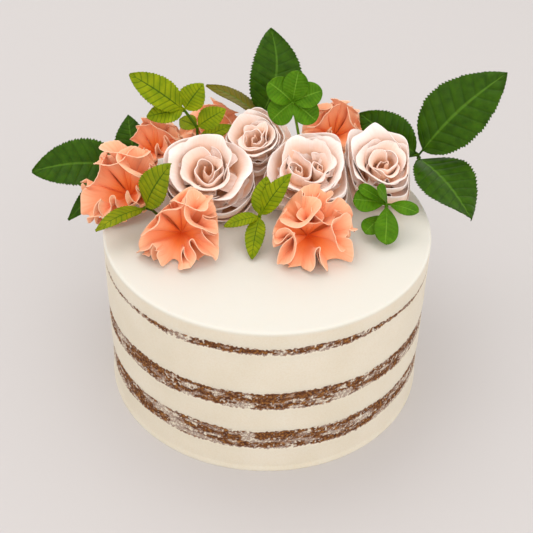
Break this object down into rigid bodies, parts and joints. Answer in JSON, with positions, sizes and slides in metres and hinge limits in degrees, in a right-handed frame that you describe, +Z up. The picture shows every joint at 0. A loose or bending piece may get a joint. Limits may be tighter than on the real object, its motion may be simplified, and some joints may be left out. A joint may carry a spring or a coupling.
{
  "type": "naked layer cake",
  "caption": "Round naked layer cake: dark sponge bands show through scraped cream sides; roses, ruffled coral blooms and leaf sprigs sit on the flat top.",
  "frame": {"origin": "middle of the cake's flat underside", "axes": "+Z up, the front of the cake with the best view of the flowers faces -Y, +X to the right"},
  "size_m": [0.2977, 0.2212, 0.1878],
  "materials": {
    "buttercream": "matte",
    "chocolate_sponge": "rough",
    "rose_petal": "satin",
    "coral_petal": "satin",
    "dark_leaf": "satin",
    "light_leaf": "satin"
  },
  "bodies": {
    "root": {"cream_base": "buttercream", "cream_lower": "buttercream", "cream_upper": "buttercream", "cream_top": "buttercream", "sponge_bottom": "chocolate_sponge", "sponge_middle": "chocolate_sponge", "sponge_top": "chocolate_sponge", "rose_front_left": "rose_petal", "rose_back": "rose_petal", "rose_centre": "rose_petal", "rose_right": "rose_petal", "coral_left": "coral_petal", "coral_back_left": "coral_petal", "coral_back": "coral_petal", "coral_front_left": "coral_petal", "coral_back_right": "coral_petal", "coral_front_right": "coral_petal", "leaf_left": "dark_leaf", "leaf_back": "dark_leaf", "leaf_right": "dark_leaf", "sprig_back_left": "light_leaf", "sprig_front_left": "light_leaf", "sprig_front": "light_leaf", "sprig_front_right": "light_leaf", "sprig_round": "light_leaf"}
  },
  "joints": []
}
